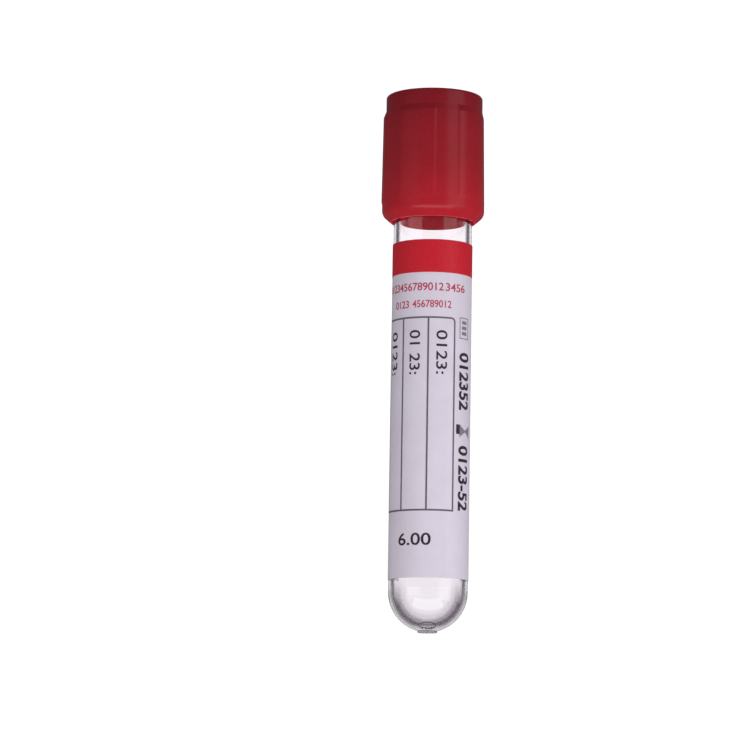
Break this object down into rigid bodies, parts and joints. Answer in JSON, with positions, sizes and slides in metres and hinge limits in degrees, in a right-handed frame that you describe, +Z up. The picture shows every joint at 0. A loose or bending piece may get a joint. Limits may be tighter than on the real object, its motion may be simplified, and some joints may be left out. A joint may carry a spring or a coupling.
{
  "type": "blood collection tube",
  "caption": "Clear round-bottomed sample tube with a fluted red press-on cap, a rubber stopper with a needle port, and a wrap-round paper label with a printed form.",
  "frame": {"origin": "on the surface it stands on, under the middle of its bounding box, 0.06 mm off the axis, because five panels round the cap are not symmetric", "axes": "+Z runs up the axis, from the cap that it stands on to the round bottom of the tube; -Y is the side with the printed form"},
  "size_m": [0.0172, 0.0172, 0.0893],
  "materials": {
    "clear_tube": "clear, polished inside and out",
    "stopper_rubber": "satin moulded rubber",
    "red_cap": "semi-gloss moulded plastic",
    "label_paper": "smooth coated paper with a faint sheen",
    "red_ink": "printed solid on coated paper",
    "dark_ink": "printed lines on coated paper"
  },
  "bodies": {
    "vessel": {"tube": "clear_tube", "label": "label_paper", "label_band": "red_ink", "label_form_lines": "dark_ink"},
    "closure": {"cap": "red_cap", "stopper": "stopper_rubber"}
  },
  "joints": [
    {"name": "closure_pull", "type": "slide", "parent": "closure", "child": "vessel", "axis": [0, 0, 1], "range_m": [0, 0.025]}
  ]
}
